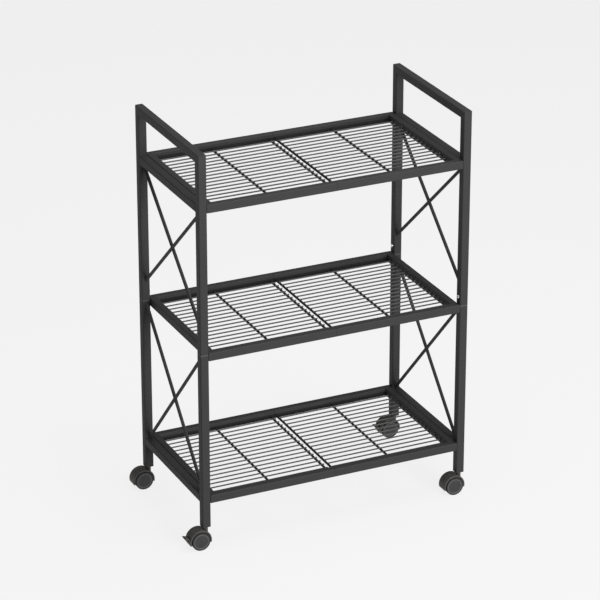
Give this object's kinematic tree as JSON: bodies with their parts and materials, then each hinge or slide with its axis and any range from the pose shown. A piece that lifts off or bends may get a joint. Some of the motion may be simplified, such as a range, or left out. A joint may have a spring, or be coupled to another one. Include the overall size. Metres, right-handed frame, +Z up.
{
  "type": "rolling pantry cart",
  "caption": "Slim rolling pantry cart: square-tube frame with a pull handle at each end, wire-grille shelves, cross-braced sides and twin-wheel swivel casters.",
  "frame": {"origin": "on the floor, in the middle of the whole cart's footprint, with its casters trailing to -X", "axes": "+X along the shelves to the cart's right, +Y from the front to the back, +Z up"},
  "size_m": [0.6394, 0.332, 0.857],
  "materials": {
    "frame_coat": "matt black powder coat",
    "grille_coat": "matt black powder coat over welded wire",
    "black_plastic": "satin black moulded plastic",
    "wheel_plastic": "matt black moulded plastic",
    "dark_steel": "black oxide",
    "bare_steel": "zinc-plated steel"
  },
  "bodies": {
    "cart_frame": {"upper_post_front_left": "frame_coat", "lower_post_front_left": "frame_coat", "upper_post_back_left": "frame_coat", "lower_post_back_left": "frame_coat", "handle_bar_left": "frame_coat", "upper_crossbar_left": "frame_coat", "lower_crossbar_left": "frame_coat", "upper_brace_rising_left": "frame_coat", "upper_brace_falling_left": "frame_coat", "lower_brace_rising_left": "frame_coat", "lower_brace_falling_left": "frame_coat", "top_shelf_frame_left": "frame_coat", "top_shelf_grille_left": "grille_coat", "middle_shelf_frame_left": "frame_coat", "middle_shelf_grille_left": "grille_coat", "bottom_shelf_frame_left": "frame_coat", "bottom_shelf_grille_left": "grille_coat", "upper_post_front_right": "frame_coat", "lower_post_front_right": "frame_coat", "upper_post_back_right": "frame_coat", "lower_post_back_right": "frame_coat", "handle_bar_right": "frame_coat", "upper_crossbar_right": "frame_coat", "lower_crossbar_right": "frame_coat", "upper_brace_rising_right": "frame_coat", "upper_brace_falling_right": "frame_coat", "lower_brace_rising_right": "frame_coat", "lower_brace_falling_right": "frame_coat", "top_shelf_frame_right": "frame_coat", "top_shelf_grille_right": "grille_coat", "middle_shelf_frame_right": "frame_coat", "middle_shelf_grille_right": "grille_coat", "bottom_shelf_frame_right": "frame_coat", "bottom_shelf_grille_right": "grille_coat", "shelf_splices": "bare_steel", "corner_tabs": "frame_coat", "post_sleeves": "bare_steel", "frame_screws": "bare_steel", "shelf_bolts": "dark_steel", "shelf_nuts": "bare_steel", "caster_sockets": "black_plastic", "caster_stems": "bare_steel"},
    "caster_front_left": {"caster_housing_front_left": "black_plastic", "caster_axle_front_left": "bare_steel"},
    "outer_wheel_front_left": {"outer_wheel_front_left": "wheel_plastic"},
    "inner_wheel_front_left": {"inner_wheel_front_left": "wheel_plastic"},
    "brake_lever_front_left": {"brake_lever_front_left": "black_plastic"},
    "caster_back_left": {"caster_housing_back_left": "black_plastic", "caster_axle_back_left": "bare_steel"},
    "outer_wheel_back_left": {"outer_wheel_back_left": "wheel_plastic"},
    "inner_wheel_back_left": {"inner_wheel_back_left": "wheel_plastic"},
    "caster_front_right": {"caster_housing_front_right": "black_plastic", "caster_axle_front_right": "bare_steel"},
    "outer_wheel_front_right": {"outer_wheel_front_right": "wheel_plastic"},
    "inner_wheel_front_right": {"inner_wheel_front_right": "wheel_plastic"},
    "caster_back_right": {"caster_housing_back_right": "black_plastic", "caster_axle_back_right": "bare_steel"},
    "outer_wheel_back_right": {"outer_wheel_back_right": "wheel_plastic"},
    "inner_wheel_back_right": {"inner_wheel_back_right": "wheel_plastic"},
    "brake_lever_back_right": {"brake_lever_back_right": "black_plastic"}
  },
  "joints": [
    {"name": "swivel_front_left", "type": "hinge", "parent": "cart_frame", "child": "caster_front_left", "pos_m": [-0.27133, -0.151, 0.0459], "axis": [0, 0, 1], "continuous": true},
    {"name": "outer_wheel_spin_front_left", "type": "hinge", "parent": "caster_front_left", "child": "outer_wheel_front_left", "pos_m": [-0.28633, -0.151, 0.02], "axis": [0, 1, 0], "continuous": true},
    {"name": "inner_wheel_spin_front_left", "type": "hinge", "parent": "caster_front_left", "child": "inner_wheel_front_left", "pos_m": [-0.28633, -0.151, 0.02], "axis": [0, 1, 0], "continuous": true},
    {"name": "brake_press_front_left", "type": "hinge", "parent": "caster_front_left", "child": "brake_lever_front_left", "pos_m": [-0.29833, -0.151, 0.023], "axis": [0, -1, 0], "range_deg": [0, 15]},
    {"name": "swivel_back_left", "type": "hinge", "parent": "cart_frame", "child": "caster_back_left", "pos_m": [-0.27133, 0.151, 0.0459], "axis": [0, 0, 1], "continuous": true},
    {"name": "outer_wheel_spin_back_left", "type": "hinge", "parent": "caster_back_left", "child": "outer_wheel_back_left", "pos_m": [-0.28633, 0.151, 0.02], "axis": [0, 1, 0], "continuous": true},
    {"name": "inner_wheel_spin_back_left", "type": "hinge", "parent": "caster_back_left", "child": "inner_wheel_back_left", "pos_m": [-0.28633, 0.151, 0.02], "axis": [0, 1, 0], "continuous": true},
    {"name": "swivel_front_right", "type": "hinge", "parent": "cart_frame", "child": "caster_front_right", "pos_m": [0.31067, -0.151, 0.0459], "axis": [0, 0, 1], "continuous": true},
    {"name": "outer_wheel_spin_front_right", "type": "hinge", "parent": "caster_front_right", "child": "outer_wheel_front_right", "pos_m": [0.29567, -0.151, 0.02], "axis": [0, 1, 0], "continuous": true},
    {"name": "inner_wheel_spin_front_right", "type": "hinge", "parent": "caster_front_right", "child": "inner_wheel_front_right", "pos_m": [0.29567, -0.151, 0.02], "axis": [0, 1, 0], "continuous": true},
    {"name": "swivel_back_right", "type": "hinge", "parent": "cart_frame", "child": "caster_back_right", "pos_m": [0.31067, 0.151, 0.0459], "axis": [0, 0, 1], "continuous": true},
    {"name": "outer_wheel_spin_back_right", "type": "hinge", "parent": "caster_back_right", "child": "outer_wheel_back_right", "pos_m": [0.29567, 0.151, 0.02], "axis": [0, 1, 0], "continuous": true},
    {"name": "inner_wheel_spin_back_right", "type": "hinge", "parent": "caster_back_right", "child": "inner_wheel_back_right", "pos_m": [0.29567, 0.151, 0.02], "axis": [0, 1, 0], "continuous": true},
    {"name": "brake_press_back_right", "type": "hinge", "parent": "caster_back_right", "child": "brake_lever_back_right", "pos_m": [0.28367, 0.151, 0.023], "axis": [0, -1, 0], "range_deg": [0, 15]}
  ]
}
